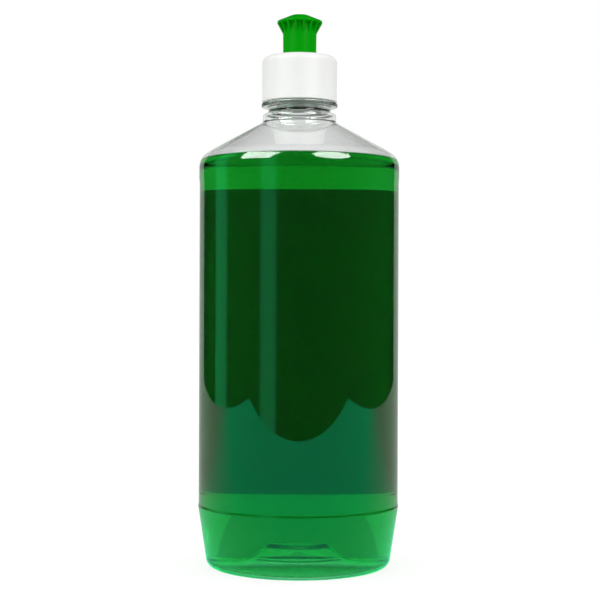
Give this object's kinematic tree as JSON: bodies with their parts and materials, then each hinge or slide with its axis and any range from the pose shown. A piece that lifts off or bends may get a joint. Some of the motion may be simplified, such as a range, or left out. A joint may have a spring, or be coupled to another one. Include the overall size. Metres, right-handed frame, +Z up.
{
  "type": "dish soap bottle",
  "caption": "Round clear bottle of green dish soap with a sloping shoulder, white screw cap, push-pull nozzle and a bare label on its back.",
  "frame": {"origin": "middle of the base, in the plane of the ring that the bottle stands on", "axes": "+Z up the bottle's axis to the nozzle; +Y towards the middle of the label on the back"},
  "size_m": [0.0868, 0.0868, 0.2392],
  "materials": {
    "clear_pet": "clear blown PET, glossy",
    "green_soap": "clear green liquid",
    "label_film": "bare white film",
    "seal_foam": "white polyethylene foam",
    "white_plastic": "moulded white polypropylene, satin",
    "green_plastic": "moulded green polyethylene, satin"
  },
  "bodies": {
    "bottle": {"bottle": "clear_pet", "dish_soap": "green_soap", "back_label": "label_film"},
    "ring": {"sealing_ring": "seal_foam"},
    "cap": {"screw_cap": "white_plastic"},
    "nozzle": {"nozzle": "green_plastic"}
  },
  "joints": [
    {"name": "cap_lift", "type": "slide", "parent": "bottle", "child": "ring", "axis": [0, 0, 1], "range_m": [0, 0.0256]},
    {"name": "cap_turn", "type": "hinge", "parent": "ring", "child": "cap", "pos_m": [0, 0, 0.21], "axis": [0, 0, 1], "range_deg": [0, 2160]},
    {"name": "nozzle_pull", "type": "slide", "parent": "cap", "child": "nozzle", "axis": [0, 0, 1], "range_m": [0, 0.005]}
  ],
  "couplings": [
    {"joint": "cap_lift", "follows": "cap_turn", "m_per_rad": 0.0006737}
  ]
}
